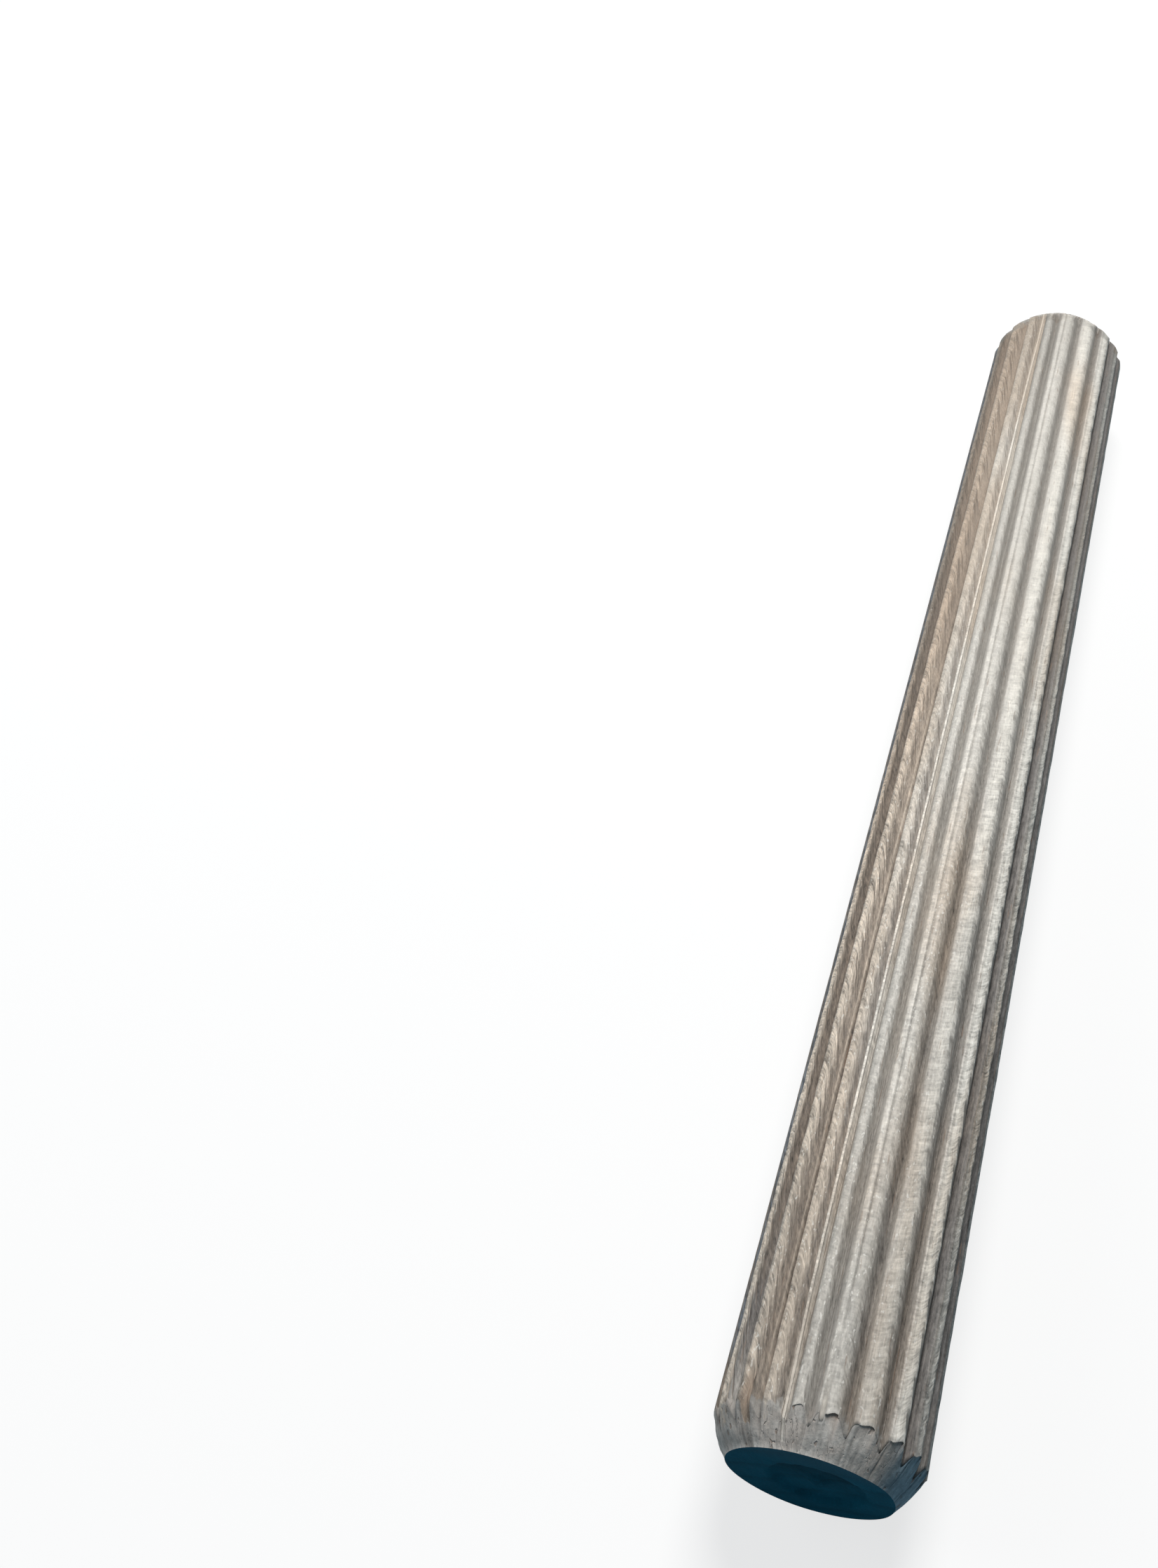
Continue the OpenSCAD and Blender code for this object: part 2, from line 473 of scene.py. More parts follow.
def tone_along(line, x):
    """How bright the wood is at one line and place along the pin, beside the tone of its crest. Part of it is
    painted light and shade: the flank changes, and the edges of crests 6, 7 and 14.
    """
    crest, across = line.crest, line.across
    tone = changed(EVERY_CREST_CHANGES + CREST_CHANGES.get(crest, ()), x)
    tone *= 1 - DIMMED_CRESTS.get(crest, 0) * bump_at(x, DIM_PATCH, DIM_REACH)
    # Painted light: the +Y half of crest 14, which turns from the lamps, is paler
    if crest == 14:
        tone *= 1 + 0.7 * fade(across, 0, -0.8)
    elif crest == 13 and abs(across) <= 1:
        tone *= 1 + 0.14 * across * (1 - 2.2 * fade(x, -55, -15))
    # Painted shade: the -Y edge of crest 7 darkens where the crest rounds away from the light
    elif crest == 7:
        tone *= 1.06 - 0.38 * fade(across, -0.3, 0.9)
    # Painted light: the -Y edge of crest 6, which turns from the lamps, stays paler than its +Y side
    elif crest == 6:
        tone *= 0.77 - 0.12 * fade(across, 0.7, -0.6)
    elif crest == SPLIT_CREST:
        pale = 0.26 - 0.14 * fade(x, -50, -62) - 0.16 * fade(x, 0, 30)
        tone *= 1 + pale * fade(across, -0.5, -0.7)
        tone *= 1 - (0.3 + 0.2 * fade(x, -15, -35)) * bump_at(across, SPLIT_PLACE, 0.1) * split_open(x)
    if line.flute == RIDGED_FLUTE and abs(line.u) < 0.25:
        tone *= 1.25
    elif line.flute == SEAMED_FLUTE:
        tone *= 1 + 0.25 * bump_at(line.u, -0.8, 0.3)
    return tone


def warmth_along(line, x, crest, beside, share):
    """How warm the wood is at one line and place, with a share of the warmth of the crest beside it. Below 0
    it is painted cool shade on some flute floors.
    """
    warmth = crest.warmth + (beside.warmth - crest.warmth) * share
    warmth += 0.9 * fade(x, -40, 20) * fade(line.crest, 9.5, 12.5)
    if line.flute == 13:
        warmth = max(warmth - 3 * fade(x, -56, -66), 0)
    elif line.flute in COOL_FLUTES:
        warmth += (COOL_FLUTES[line.flute] - warmth) * (1 - fade(x, -62, -65.5))
    if line.crest == TORN_CREST and line.flute is None:
        warmth += 1.2 * fade(x, -64, -67) * fade(line.across, -0.6, 0)
    return warmth


def edge_wobble(line, x, chatter):
    """How far the edges of a crest wander round the pin, in degrees."""
    window = fade(abs(line.across), 0.35, 0.95) * (1 - fade(abs(line.across), 1.05, 1.7))
    side = 1 if line.across > 0 else -0.4
    return -side * chatter * 1.15 * window * noise.noise(Vector((x / 1.1, line.crest * 9.1, 3 * side)))


def lip_of(line, crest):
    """How strong the torn lip is at one line, from 0 up."""
    if line.flute is not None or crest.lip == 0:
        return 0
    rise = fade(line.across, crest.lip_start - 0.02, crest.lip_start + 0.2)
    return crest.lip * rise * (1 - fade(line.across, crest.lip_end - 0.12, crest.lip_end + 0.3))


def torn_line(line, crest):
    """1 where a tear runs down the chamfer from one end of a lip, and 0 beside it."""
    torn = 0.45 < crest.lip < 1.2 and line.flute is None
    return torn * bump_at(line.across, crest.lip_start - 0.08, 0.14)


def spill(line, side):
    """How strongly the wood of the shank runs on down the near chamfer at one line, and how far down it."""
    if side > 0:
        return 0, 1
    if line.flute == RIDGED_FLUTE:
        return 0.9 * (1 - fade(abs(line.u), 0.2, 0.36)), 0.2
    if line.flute is not None:
        return 0, 1
    return {
        11: (0.5 * fade(line.across, 0.2, -0.5), 0.6),
        TORN_CREST: (0.8 * fade(line.across, -0.6, 0), 0.72),
        13: (0.5, 0.5),
    }.get(line.crest, (0, 1))


def merging(line, side):
    """How far the wood of a flute takes on the look of the chamfer where it runs out, and how far out that
    starts."""
    if line.flute is None or line.flute == RIDGED_FLUTE and abs(line.u) < 0.3:
        return 0, 65.8
    if side < 0 and line.flute > RIDGED_FLUTE:
        return 1, 66.2
    return (0.65 if line.across > 0 or line.flute in (10, 11) else 0.2), 65.8


def slanted_look(line, row, spot, crest):
    """Tone and warmth of wood that is cut at a slant. The near chamfer is painted darker and blue-grey round
    to its shaded -Y side, as painted shade, and paler along its rim on the lit side, as a painted highlight.
    """
    angle = 360 - line.turn
    on_cone = row.kind == "cone"
    tone = 1 + 0.2 * noise.noise(Vector((line.turn * 0.45, spot.x, 4))) - 0.3 * torn_line(line, crest)
    if line.flute is not None:
        darker = 0.3 if line.flute > RIDGED_FLUTE else 0.05
        tone *= 1 - darker * (fade(row.value, 0.6, 1) if on_cone else 1)
    if row.side < 0:
        # Painted shade: the near chamfer darker round its -Y side, which turns from the lamps
        tone *= 1 - 0.27 * bump_at(angle, 54, 15) - 0.15 * fade(angle, 62, 78) + 0.03 * bump_at(angle, 7, 18)
        tone *= 1 - 0.1 * bump_at(angle, -66, 16)
        # Painted highlight: a pale line along the rim, on the lit side
        tone *= 1 + 0.3 * on_cone * (1 - fade(row.value, 0.02, 0.12)) * (1 - fade(angle, 0, 25))
    if spill(line, row.side)[0] > 0.3 and line.crest == TORN_CREST:
        tone *= 0.7
    # Below 0, the warmth is the painted blue-grey shade of the near chamfer's shaded side
    return tone, -fade(angle, 35, 65) * (row.side < 0)


def pin_rows(sizes):
    """The crosswise rows of the mesh, from the middle of the near face to the middle of the far one. The
    value of a row is its radius on a face, how far up the cone it is, which edge of the lip it is, how far
    out on the run-out it is, or its x on the shank."""
    face = [("face", r) for r in (
        0, 0.12, 0.3, 0.55, 0.8, 1.05, 1.6, 2.3, 2.9, 3.3, 3.6, 3.85, 4.1, 4.6, 5.2, 5.8, 6.13)]
    cone = [("cone", f) for f in (0, 0.06, 0.2, 0.36, 0.52, 0.68, 0.84)]
    lip = [("lip", k) for k in (0, 1, 2, 3)]
    runout = [("runout", f) for f in (0.72, 0.36, 0)]
    end = face + cone + lip + runout
    stop = sizes.half_length / MM - SHANK_STOP
    shank, x = [], -stop
    while x < stop:
        shank.append(Row("shank", x, 0))
        x += ROW_STEP + ROW_SPREAD * fade(x, -35, 15)
    return [Row(*row, -1) for row in end] + shank + [Row(*row, 1) for row in reversed(end)]


def recess_floor(r, turn, sizes, side):
    """Depth of an end face below its rim at a place on it."""
    off_centre = 0.45 if side < 0 else 0.2
    y, z = r * math.sin(turn) + off_centre, r * math.cos(turn)
    out = math.hypot(y, z)
    ragged = 0.12 * noise.noise(Vector((y * 0.9, z * 0.9, side * 5)))
    edge = sizes.recess_radius / MM + ragged
    depth = sizes.recess_depth / MM * (1 - fade(out, edge - 0.4, edge))
    nub = 0.3 * (1 - fade(out, 0.45, 1.05)) * (1 + 0.6 * noise.noise(Vector((y * 2, z * 2, side * 3))))
    rough = 0.04 * noise.noise(Vector((y * 1.3, z * 1.3, 9 * side)))
    inside = 1 - fade(r, 5.7, 6.2)
    return max((depth - nub * (depth > 0) + (rough + 0.03) * inside), 0)


def shank_spot(line, x, sizes, crest, waver=1, curl=0):
    """Where one line runs at one x on the shank. The edges of the crests waver, and a lip curls up."""
    merge, start = merging(line, -1 if x < 0 else 1)
    wobble = sizes.wear * edge_wobble(line, x, crest.chatter) * waver
    radius = shank_radius(line, x, sizes, crest.chatter) + curl
    return Spot(x, radius, math.radians(line.turn + wobble), 0, merge * fade(abs(x), start, start + 2))


def place(line, row, sizes, crest):
    """Where one line crosses one row."""
    kind, value, side = row
    if kind == "shank":
        return shank_spot(line, value, sizes, crest)
    half, face, length = sizes.half_length / MM, sizes.face_radius / MM, sizes.chamfer_length / MM
    turn = math.radians(line.turn)
    flank = bump_at(360 - line.turn, -78, 35) * (side < 0)
    rim = 0.2 * flank + 0.12 * noise.noise(
        Vector((math.sin(turn) * 1.8, math.cos(turn) * 1.8, side * 3 + 0.5)))
    if kind == "face":
        r = value + rim * fade(value, 4.5, 6.2)
        return Spot(side * (half - recess_floor(value, turn, sizes, side)), r, turn, 0, 1)

    slope = length / (sizes.radius / MM + CHAMFER_MOUTH - face)
    tip_radius = shank_radius(line, side * (half - length), sizes, crest.chatter)
    tip_x = half - slope * (tip_radius - face)
    lip = lip_of(line, crest)
    soft = crest.soft * (1 - fade(abs(line.across), 0.9, 1.9)) * (1 - min(lip, 1))
    hollow = LIP_HOLLOW * min(lip, 1) * fade(line.across, -0.9, 0.9)
    if kind == "runout":
        inner, outer = half - RUNOUT_START, tip_x - 0.55 * soft - hollow
        x = inner + (outer - inner) * value
        curl = LIP_CURL * lip * math.exp(-(tip_x - x) / 0.35)
        return shank_spot(line, side * x, sizes, crest, waver=1 - value, curl=curl)

    foot = tip_radius - 0.03 - 0.08 * lip - 0.28 * soft
    strength, low = spill(line, side)
    if kind == "cone":
        r = face + (foot - face) * value
        grain = 0.05 * noise.noise(Vector((r * 1.2, line.turn * 0.22, side * 11)))
        grain += (0.1 + 0.2 * flank) * math.sin(math.pi * value) - 0.09 * torn_line(line, crest)
        return Spot(
            side * (half - slope * (r - face) - hollow * fade(value, 0.5, 1)),
            r + grain * fade(value, 0, 0.3) - 0.035 * fade(value, 0, 0.2) + rim * (1 - value) ** 2,
            turn, 0, 1 - strength * fade(value, low - 0.1, low + 0.2))

    # From the foot of the lip, round its torn edge, to the shank behind it
    foot_x = half - slope * (foot - face)
    merge = merging(line, side)[0]
    x, radius, cut = (
        (foot_x - 0.14 * lip, foot, 1 - strength),
        (tip_x + 0.08 * lip + 0.06 * soft, tip_radius - 0.06 * lip - 0.015 - 0.08 * soft, max(0.85, merge)),
        (tip_x + 0.14 * lip - 0.24 * soft, tip_radius - 0.01 * lip - 0.02 * soft, max(0.3, merge)),
        (tip_x + 0.02 * lip - 0.5 * soft, tip_radius + 0.03 * lip, merge),
    )[value]
    if strength > 0.3:
        cut = min(cut, 1 - strength)
    return Spot(side * (x - hollow), radius, turn, lip if value else 0.5 * lip, cut)


def marks_at(line, row, spot, sizes, crest, beside):
    """What the materials read at one place, in the order of their names."""
    share = 0.5 * fade(abs(line.across), 1, 2)
    tone = (crest.tone + (beside.tone - crest.tone) * share) * tone_along(line, spot.x)
    warmth = warmth_along(line, spot.x, crest, beside, share)
    if row.kind == "cone" or row.kind == "lip" and (row.value < 2 or line.flute is not None):
        tone, shade_tint = slanted_look(line, row, spot, crest)
        # On the near chamfer's shaded side the warmth is its painted blue-grey shade
        warmth = shade_tint if spill(line, row.side)[0] < 0.3 else warmth
    elif line.flute is not None:
        tone += (0.7 - tone) * spot.cut
    sunk = min(max((sizes.radius - spot.radius * MM) / sizes.flute_depth, 0), 1)
    on_ridge = line.flute == RIDGED_FLUTE and abs(line.u) < 0.23
    return (sunk, 0 if on_ridge else line.across, line.crest, spot.lip, spot.cut, tone, warmth, crest.chatter,
            crest.slant, dullness_and_shade(line, spot.x))


class DOWEL_OT_pin(Operator):
    """Rolls a board of fine squares up into the pin, with its flutes, crest tips, chamfers and end faces"""

    bl_idname = "dowel.pin"
    bl_label = "Fluted Pin"

    def execute(self, context):
        sizes = context.scene.dowel_sizes
        lines, rows, crests = pin_lines(sizes), pin_rows(sizes), all_crests(sizes.flutes)
        bm = bmesh.new()
        bm.loops.layers.uv.new(BAKE_MAP)
        layers = [bm.verts.layers.float.new(name) for name in MARKS]
        bmesh.ops.create_grid(
            bm, x_segments=len(rows) - 1, y_segments=len(lines) - 1, size=0.5, calc_uvs=True)
        part_of = {}
        for vert in bm.verts:
            row = rows[round((vert.co.x + 0.5) * (len(rows) - 1))]
            line = lines[round((vert.co.y + 0.5) * (len(lines) - 1))]
            looks = crests[row.side or -1]
            crest = looks[line.crest]
            beside = looks[(line.crest + (-1 if line.across > 0 else 1)) % sizes.flutes]
            spot = place(line, row, sizes, crest)
            y, z = spot.radius * math.sin(spot.turn), spot.radius * math.cos(spot.turn)
            vert.co = Vector((spot.x, y, z)) * MM
            part_of[vert] = (row, spot.lip)
            for layer, value in zip(layers, marks_at(line, row, spot, sizes, crest, beside)):
                vert[layer] = value
        for face in bm.faces:
            face.smooth = True
            face.material_index = int(any(part_of[vert][0].kind == "face" for vert in face.verts))
        for edge in bm.edges:
            (a, lip_a), (b, lip_b) = (part_of[vert] for vert in edge.verts)
            torn = a.kind == "lip" and a.value in (0, 2) and max(lip_a, lip_b) > 0.15
            if a == b and (torn or a.kind == "cone" and a.value == 0):
                edge.smooth = False
        bmesh.ops.remove_doubles(bm, verts=bm.verts, dist=1e-7)
        bmesh.ops.recalc_face_normals(bm, faces=bm.faces)
        mesh = bpy.data.meshes.new("fluted_pin")
        bm.to_mesh(mesh)
        bm.free()
        pin = bpy.data.objects.new("fluted_pin", mesh)
        context.scene.collection.objects.link(pin)
        colours = context.scene.dowel_colours
        for material in (long_grain(colours), end_grain_and_shade(colours)):
            mesh.materials.append(material)
        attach(pin, "root")
        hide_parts(NODE)
        return {"FINISHED"}


# Shader maths


class Value:
    """A socket of a shader tree that takes part in sums like a number."""

    def __init__(self, recipe, socket):
        self.recipe, self.socket = recipe, socket

    def __add__(self, other):
        return self.recipe.maths("ADD", self, other)

    def __sub__(self, other):
        return self.recipe.maths("SUBTRACT", self, other)

    def __rsub__(self, other):
        return self.recipe.maths("SUBTRACT", other, self)

    def __mul__(self, other):
        return self.recipe.maths("MULTIPLY", self, other)

    def __truediv__(self, other):
        return self.recipe.maths("DIVIDE", self, other)

    def __pow__(self, other):
        return self.recipe.maths("POWER", self, other)

    def __abs__(self):
        return self.recipe.maths("ABSOLUTE", self)

    __radd__, __rmul__ = __add__, __mul__


class Recipe:
    """Adds nodes to the tree of one material or world."""

    def __init__(self, owner):
        owner.use_nodes = True
        self.owner, self.tree = owner, owner.node_tree
        self.tree.nodes.clear()

    def node(self, kind, settings=None, inputs=None, output=0):
        """One node, with its settings made first and then its inputs. Gives back one of its outputs."""
        made = self.tree.nodes.new(kind)
        for name, setting in (settings or {}).items():
            setattr(made, name, setting)
        for key, value in (inputs or {}).items():
            if isinstance(value, Value):
                self.tree.links.new(value.socket, made.inputs[key])
            else:
                made.inputs[key].default_value = value
        return Value(self, made.outputs[output]) if made.outputs else None

    def maths(self, operation, *values):
        return self.node("ShaderNodeMath", {"operation": operation}, dict(enumerate(values)))

    def attribute(self, name):
        return self.node("ShaderNodeAttribute", {"attribute_name": name}, output="Fac")

    def place_mm(self):
        """Object coordinates x, y and z in millimetres."""
        metres = self.node("ShaderNodeTexCoord", output="Object")
        mm = self.node("ShaderNodeVectorMath", {"operation": "SCALE"}, {0: metres, "Scale": 1 / MM})
        split = self.node("ShaderNodeSeparateXYZ", None, {0: mm})
        return [Value(self, socket) for socket in split.socket.node.outputs]

    def vector(self, x, y, z):
        return self.node("ShaderNodeCombineXYZ", None, {0: x, 1: y, 2: z})

    def noise(self, vector, detail=2.0, roughness=0.5):
        """Noise from 0 to 1 with its middle at 0.5."""
        return self.node(
            "ShaderNodeTexNoise", {"noise_dimensions": "3D"},
            {"Vector": vector, "Scale": 1.0, "Detail": detail, "Roughness": roughness, "Distortion": 0.0})

    def smooth(self, value, low, high, to_low=0.0, to_high=1.0):
        """to_low where value is below low and to_high where it is above high, with an easy slope between."""
        return self.node(
            "ShaderNodeMapRange", {"interpolation_type": "SMOOTHSTEP"},
            {"Value": value, "From Min": low, "From Max": high, "To Min": to_low, "To Max": to_high})

    def mix(self, share, a, b):
        """Colour a and colour b, mixed by share."""
        a, b = (c if isinstance(c, Value) else (*c, 1) for c in (a, b))
        return self.node(
            "ShaderNodeMix", {"data_type": "RGBA", "blend_type": "MIX"}, {0: share, 6: a, 7: b}, output=2)

    def tint(self, colour, factor):
        """A colour times a number."""
        return self.node("ShaderNodeVectorMath", {"operation": "SCALE"}, {0: colour, "Scale": factor})

    def finish(self, colour, roughness, height, specular):
        """The surface itself, with a height in millimetres that only bends the light."""
        normal = self.node("ShaderNodeBump", None, {"Strength": 1.0, "Distance": MM, "Height": height})
        shader = self.node("ShaderNodeBsdfPrincipled", None, {
            "Base Color": colour, "Roughness": roughness, "Normal": normal, "Specular IOR Level": specular})
        self.node("ShaderNodeOutputMaterial", None, {"Surface": shader})
        return self.owner


def ring_distance(recipe, y, z, x):
    """Distance from the middle of the tree that the pin was cut from, with the rings a little wavy."""
    lean = x * 0.035
    dy, dz = y - HEART_Y + lean, z - HEART_Z
    plain = (dy * dy + dz * dz) ** 0.5
    wave = recipe.noise(recipe.vector(x * 0.02, y * 0.12, z * 0.12), detail=1.0)
    return plain + wave * 1.6


def ring_lines(recipe, distance, spacing):
    """1 along the thin dark end of each year's ring and 0 between."""
    saw = recipe.maths("FRACT", distance / spacing)
    return recipe.smooth(saw, 0.55, 0.93) * recipe.smooth(saw, 0.94, 1.0, 1.0, 0.0)


def barbs(recipe, x, own, marks):
    """1 on the barbs that stand along the -Y edges of the crests like the teeth of a saw, and 0 elsewhere."""
    across = marks["across"]
    teeth = x * 0.36 + own + recipe.noise(recipe.vector(x * 0.22, own, 0.0), detail=1.0) * 2.5
    teeth = recipe.maths("FRACT", teeth)
    barb = recipe.smooth(across + teeth * 0.55, 1.0, 1.16) * recipe.smooth(across, 1.1, 1.4, 1.0, 0.0)
    barb = barb * recipe.smooth(teeth, 0.8, 1.0, 1.0, 0.0) * recipe.smooth(marks["chatter"], 0.2, 0.6)
    return barb * recipe.smooth(marks["crest"], 9.5, 11.5, 1.0, 0.35)


def shank_colour(recipe, colours, place, marks):
    """Colour, roughness and height of the shank: fibres, short flecks, the arcs that the cutter pressed
    across the crests, the dark hooks and barbs at their edges, and the flutes, darker partly as their own
    wood and partly as painted shade, some with painted blue-grey shade. Painted glints and the painted
    highlight of torn lips sit on top. The finer marks fade towards the far end."""
    x, y, z = place
    sunk, across, chatter, own = marks["sunk"], marks["across"], marks["chatter"], marks["crest"] * 7.3
    crisp = recipe.smooth(x, -22.0, 28.0, 1.0, 0.42)
    patches = recipe.noise(recipe.vector(x * 0.035, y * 0.2, z * 0.2), detail=3.0) - 0.5
    mottle = recipe.noise(recipe.vector(x * 0.6, y * 0.9, z * 0.9), detail=3.0, roughness=0.6) - 0.5
    fibres = recipe.noise(recipe.vector(x * 0.25, y * 5.5, z * 5.5), detail=3.0, roughness=0.7) - 0.5
    grit = recipe.noise(recipe.vector(x * 2.2, y * 5.0, z * 5.0), detail=2.0, roughness=0.6) - 0.5
    glints = recipe.noise(recipe.vector(x * 2.6, y * 4.0, z * 4.0), detail=1.0)
    rays = recipe.noise(recipe.vector(x * 0.42, y * 4.6, z * 4.6), detail=1.0)

    bow, hook = across + 1, recipe.maths("MAXIMUM", across - 0.45, 0.0)
    along = x + bow * bow * marks["slant"] * 0.5 + hook * hook * (chatter * 1.5 + 0.8)
    cells = recipe.noise(recipe.vector(along * 0.8, own, across * 0.45), detail=2.0) - 0.5
    arcs = recipe.noise(recipe.vector(along * 1.5, own, across * 0.55), detail=3.0, roughness=0.6) - 0.5
    threads = recipe.noise(recipe.vector(along * 5.0, own, across * 0.8), detail=1.0) - 0.5
    combed = recipe.noise(recipe.vector(along * 0.7, own, across * 5.5), detail=3.0, roughness=0.7) - 0.5
    slanted = recipe.noise(
        recipe.vector(x * 0.7, own, (across + x * 0.36) * 4.5), detail=3.0, roughness=0.7) - 0.5
    hooks = recipe.noise(recipe.vector(along * 0.6, own + 3.1, across * 0.3), detail=1.0)
    open_crest = recipe.smooth(sunk, 0.15, 0.55, 1.0, 0.0)
    lower_edge = recipe.smooth(across, 0.1, 0.8) * recipe.smooth(across, 1.3, 1.7, 1.0, 0.0)
    hook_line = recipe.smooth(abs(hooks - 0.5), 0.0, 0.08, 1.0, 0.0) * lower_edge * chatter
    pressed = open_crest * (chatter * 1.2 + 0.2)
    flank = recipe.smooth(across, 0.5, 0.95)

    warm = recipe.smooth(patches + marks["warmth"] * 0.22, -0.05, 0.25)
    colour = recipe.mix(warm, colours.pale, colours.warm)
    colour = recipe.mix(recipe.smooth(marks["warmth"] + patches, 1.2, 2.4) * 0.45, colour, TAN)
    light = 1 + mottle * 0.3 + (fibres * 0.7 + grit * 0.8) * crisp
    light = light + (cells * 0.45 + (arcs * 1.1 + threads * 1.0) * crisp) * pressed
    light = light + slanted * flank * crisp * 1.2
    colour = recipe.tint(colour, light * marks["tone"])

    combed = combed + (slanted * 1.2 - combed) * flank
    streaks = 1 + (fibres * 2.0 + combed * 2.1 + grit * 1.4) * crisp + mottle * 0.4
    streaks = streaks * recipe.smooth(marks["dull_and_shade"], 1.0, 1.6, 1.0, 0.55)
    bare_floor = recipe.mix(warm, colours.groove, colours.groove_warm)
    # Painted cool shade: flute floors with negative warmth turn blue-grey
    cool_shade = recipe.smooth(marks["warmth"], -1.5, 0.0, 0.6, 0.0)
    floor = recipe.tint(recipe.mix(cool_shade, bare_floor, COOL_SHADE_GREY), streaks)
    colour = recipe.mix(marks["dull_and_shade"], colour, floor)

    barb = barbs(recipe, x, own, marks) * crisp
    # Painted glints: small pale specks on the open crests stand in for highlights
    shine = recipe.smooth(glints, 0.63, 0.72) * open_crest * recipe.smooth(marks["dull_and_shade"], 0.0, 1.0, 1.0, 0.0)
    colour = recipe.mix(recipe.smooth(rays, 0.68, 0.74) * 0.4, colour, colours.fleck)
    colour = recipe.mix(hook_line * 0.6, colour, colours.groove_warm)
    colour = recipe.mix(barb * 0.6, colour, recipe.tint(bare_floor, 0.6))
    colour = recipe.mix(shine * crisp * 0.5, colour, GLINT)
    # Torn lip edges: paler torn fibres, with a painted highlight on top
    colour = recipe.mix(marks["lip"] * 0.35, colour, TORN_EDGE_HIGHLIGHT)
    roughness = recipe.smooth(sunk, 0.1, 0.8, 0.55, 0.75) + mottle * 0.3
    height = (cells * 0.05 + arcs * 0.05 + threads * 0.012) * pressed + fibres * 0.025 + grit * 0.02
    height = height + combed * (1 - open_crest) * 0.03 - hook_line * 0.03 - barb * 0.05
    return colour, roughness, height


def chamfer_colour(recipe, colours, place, marks):
    """Colour and height of wood that is cut at a slant: torn fibres, pits and the scratches of the cutter,
    with painted blue-grey shade on the shaded side of the near chamfer and painted shade under the torn lips.
    """
    x, y, z = place
    radius = (y * y + z * z) ** 0.5
    turn = recipe.maths("ARCTAN2", y, z)
    grit = recipe.noise(recipe.vector(x * 2.6, y * 3.0, z * 3.0), detail=3.0, roughness=0.7) - 0.5
    blotches = recipe.noise(recipe.vector(x * 0.5, y * 0.7, z * 0.7), detail=3.0) - 0.5
    streaks = recipe.noise(
        recipe.vector(turn * 22.0, radius * 0.45, x * 0.1), detail=3.0, roughness=0.6) - 0.5
    lines = recipe.noise(recipe.vector(turn * 13.0, radius * 0.5, x * 0.3), detail=2.0) - 0.5
    pits = recipe.noise(recipe.vector(x * 0.9, y * 2.0, z * 2.0), detail=1.0)
    scratch = recipe.smooth(abs(lines), 0.0, 0.012, 1.0, 0.0) * recipe.smooth(blotches, -0.12, 0.1)
    pit = recipe.smooth(pits, 0.67, 0.73)
    colour = recipe.mix(recipe.smooth(blotches, -0.15, 0.15), colours.chamfer, colours.chamfer_warm)
    # Painted shade: negative warmth turns the near chamfer blue-grey on its shaded side
    colour = recipe.mix(recipe.smooth(marks["warmth"], -1.0, 0.0, 0.85, 0.0), colour, SHADED)
    light = 1 + grit * 0.8 + blotches * 0.8 + streaks * 0.7 - scratch * 0.3
    colour = recipe.tint(colour, light * recipe.smooth(marks["tone"], 0.5, 1.5, 0.5, 1.5))
    colour = recipe.mix(pit * 0.5, colour, colours.fleck)
    # Painted shade under each torn lip, in a warm brown
    under_lip_shade = marks["lip"] * recipe.smooth(marks["cut"], 0.3, 0.8)
    colour = recipe.mix(recipe.smooth(under_lip_shade, 0.05, 0.5) * 0.6, colour, UNDER_LIP_SHADE)
    height = grit * 0.05 + streaks * 0.045 - scratch * 0.03 - pit * 0.06 + blotches * 0.08
    return colour, height


def long_grain(colours):
    """Beech on the shank, and cut at a slant on the chamfers, with a ragged line between the two."""
    recipe = Recipe(bpy.data.materials.new("beech"))
    place = x, y, z = recipe.place_mm()
    marks = {name: recipe.attribute(name) for name in MARKS}
    colour, roughness, height = shank_colour(recipe, colours, place, marks)
    slant, slant_height = chamfer_colour(recipe, colours, place, marks)
    ragged = recipe.noise(recipe.vector(x * 1.6, y * 3.0, z * 3.0), detail=2.0) - 0.5
    share = recipe.smooth(marks["cut"] + ragged * 1.1, 0.35, 0.68)
    return recipe.finish(
        recipe.mix(share, colour, slant), roughness + share * 0.2, height + (slant_height - height) * share,
        specular=0.4)


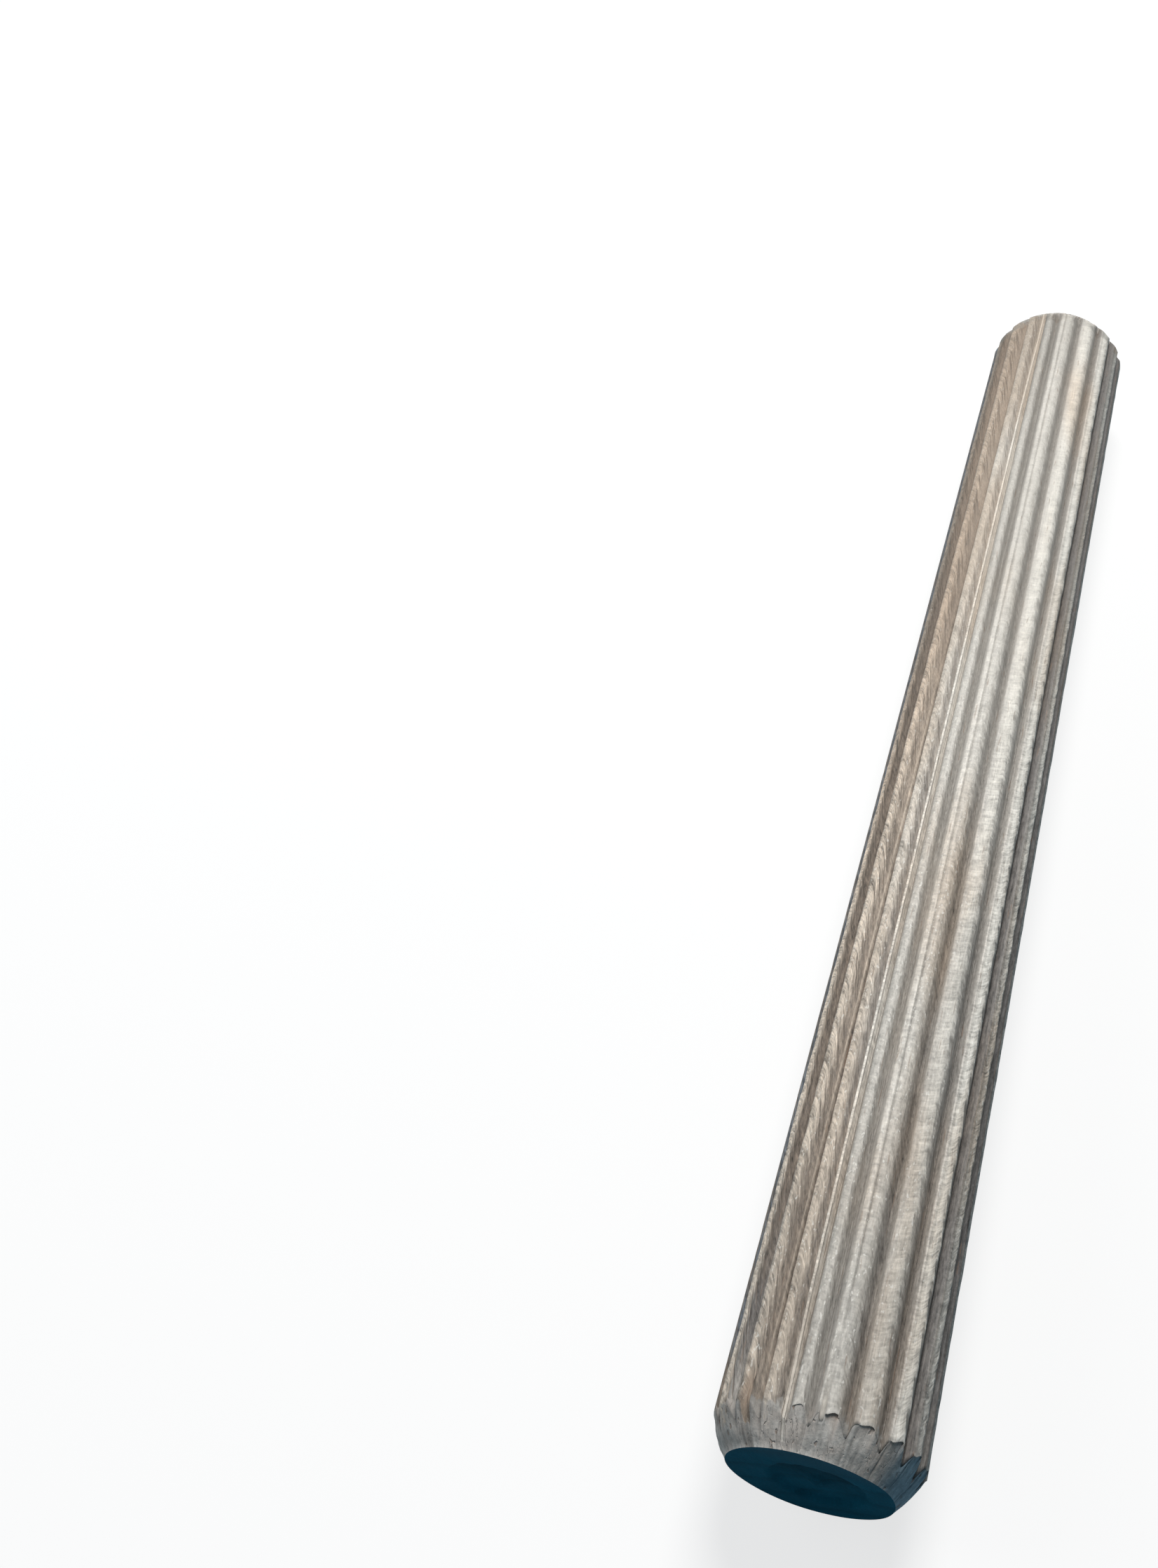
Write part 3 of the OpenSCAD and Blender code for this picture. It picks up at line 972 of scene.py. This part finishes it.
def end_grain_and_shade(colours):
    """Beech cut square: year rings, rays across them and pores. The near end is painted a dark blue-green as
    painted shade, each recess is painted dimmer towards its top as painted shade under its rim, and the near
    face is painted paler along its upper edge as painted light."""
    recipe = Recipe(bpy.data.materials.new("beech_end"))
    x, y, z = recipe.place_mm()
    distance = ring_distance(recipe, y, z, x)
    rings = ring_lines(recipe, distance, 2.6)
    way = recipe.maths("ARCTAN2", z - HEART_Z, y - HEART_Y)
    rays = recipe.noise(recipe.vector(way * 420.0, distance * 0.45, 0.0), detail=1.0) - 0.5
    pores = recipe.noise(recipe.vector(x * 2.0, y * 6.0, z * 6.0), detail=2.0, roughness=0.7) - 0.5
    blotches = recipe.noise(recipe.vector(x * 0.3, y * 0.45, z * 0.45), detail=2.0) - 0.5
    sunk = recipe.smooth(abs(x), 69.6, 69.95, 1.0, 0.0)
    far = recipe.smooth(x, -1.0, 1.0)
    light = 1 + pores * 0.5 + rays * 0.3 + blotches * 0.5 - rings * 0.15
    # Painted shadow: each recess dims towards its top, under its upper rim
    light = light - sunk * recipe.smooth(z, -2.5, 3.0, 0.0, 0.4) - rings * far * 0.2
    # The near end takes the painted shade colour, the far end the wood's own
    colour = recipe.tint(recipe.mix(far, colours.end_grain_and_shade, colours.far_end_grain), light)
    # Painted light: the near face grows paler and warmer along its upper edge
    colour = recipe.mix(recipe.smooth(z, 2.6, 5.0) * (1 - far) * 0.5, colour, LIT_FACE_EDGE)
    height = pores * 0.02 + rays * 0.012
    return recipe.finish(colour, 0.85, height, specular=0.15)


# The stage


def add_floor(scene, look):
    """A wide floor. The camera sees it pale with a faint shadow, and it throws a dim colour at the pin."""
    bm = bmesh.new()
    bmesh.ops.create_grid(bm, x_segments=1, y_segments=1, size=FLOOR_REACH)
    bmesh.ops.translate(bm, verts=bm.verts, vec=(0, 0, PIN_LOW.z))
    mesh = bpy.data.meshes.new("floor")
    bm.to_mesh(mesh)
    bm.free()
    floor = bpy.data.objects.new("floor", mesh)
    scene.collection.objects.link(floor)
    recipe = Recipe(bpy.data.materials.new("floor"))
    seen = recipe.node("ShaderNodeLightPath", output="Is Camera Ray")
    shadowed = recipe.node("ShaderNodeBsdfDiffuse", None, {"Color": (*look.floor, 1)})
    glow = recipe.node("ShaderNodeEmission", None, {"Color": (1, 1, 1, 1), "Strength": 1.0})
    pale = recipe.node("ShaderNodeMixShader", None, {0: PALE_SHARE, 1: shadowed, 2: glow})
    dim = recipe.node("ShaderNodeBsdfDiffuse", None, {"Color": (*look.bounce, 1)})
    both = recipe.node("ShaderNodeMixShader", None, {0: seen, 1: dim, 2: pale})
    recipe.node("ShaderNodeOutputMaterial", None, {"Surface": both})
    mesh.materials.append(recipe.owner)


def add_lamp(scene, name, place, size, power, colour):
    """A round lamp that points at the middle of the pin."""
    data = bpy.data.lights.new(name, "AREA")
    data.shape, data.size, data.energy, data.color = "DISK", size, power, colour
    lamp = bpy.data.objects.new(name, data)
    lamp.location = place
    lamp.rotation_euler = (Vector() - Vector(place)).to_track_quat("-Z", "Y").to_euler()
    scene.collection.objects.link(lamp)


def add_air(scene, look):
    """Soft light from all round, before a white distance."""
    scene.world = bpy.data.worlds.new("air")
    recipe = Recipe(scene.world)
    seen = recipe.node("ShaderNodeLightPath", output="Is Camera Ray")
    air = recipe.node("ShaderNodeBackground", None, {"Color": (*look.air, 1), "Strength": AIR_STRENGTH})
    distance = recipe.node("ShaderNodeBackground", None, {"Color": (1, 1, 1, 1), "Strength": DISTANCE})
    both = recipe.node("ShaderNodeMixShader", None, {0: seen, 1: air, 2: distance})
    recipe.node("ShaderNodeOutputWorld", None, {"Surface": both})


def add_camera(scene):
    """The camera, which looks down on the near end of the pin."""
    data = bpy.data.cameras.new("camera")
    data.lens, data.sensor_width = LENS, SENSOR
    data.shift_x, data.shift_y = SHIFT_X, SHIFT_Y
    data.clip_start, data.clip_end = SEES_FROM, SEES_TO
    camera = bpy.data.objects.new("camera", data)
    camera.location = CAMERA_PLACE
    camera.rotation_euler = [math.radians(turn) for turn in CAMERA_TURN]
    scene.collection.objects.link(camera)
    scene.camera = camera


class DOWEL_OT_stage(Operator):
    """Makes the floor, the lamps, the air and the camera"""

    bl_idname = "dowel.stage"
    bl_label = "Stage"

    def execute(self, context):
        scene = context.scene
        scene.view_settings.view_transform = "Standard"
        add_floor(scene, scene.dowel_stage)
        for name, lamp in LAMPS.items():
            add_lamp(scene, name, *lamp)
        add_air(scene, scene.dowel_stage)
        add_camera(scene)
        return {"FINISHED"}


class DOWEL_PT_panel(Panel):
    bl_idname = "DOWEL_PT_panel"
    bl_label = "Dowel Pin"
    bl_space_type = "VIEW_3D"
    bl_region_type = "UI"
    bl_category = "Dowel Pin"

    def draw(self, context):
        for group in (context.scene.dowel_sizes, context.scene.dowel_colours, context.scene.dowel_stage):
            for name in group.__annotations__:
                self.layout.prop(group, name)
        for operator in (DOWEL_OT_pin, DOWEL_OT_stage):
            self.layout.operator(operator.bl_idname)


CLASSES = (PinSizes, BeechColours, StageLook, DOWEL_OT_pin, DOWEL_OT_stage, DOWEL_PT_panel)


def register():
    for each in CLASSES:
        bpy.utils.register_class(each)
    bpy.types.Scene.dowel_sizes = PointerProperty(type=PinSizes)
    bpy.types.Scene.dowel_colours = PointerProperty(type=BeechColours)
    bpy.types.Scene.dowel_stage = PointerProperty(type=StageLook)


def unregister():
    for name in ("dowel_sizes", "dowel_colours", "dowel_stage"):
        delattr(bpy.types.Scene, name)
    for each in reversed(CLASSES):
        bpy.utils.unregister_class(each)


def main():
    register()
    bpy.ops.dowel.pin()
    bpy.ops.dowel.stage()


if __name__ == "__main__":
    main()
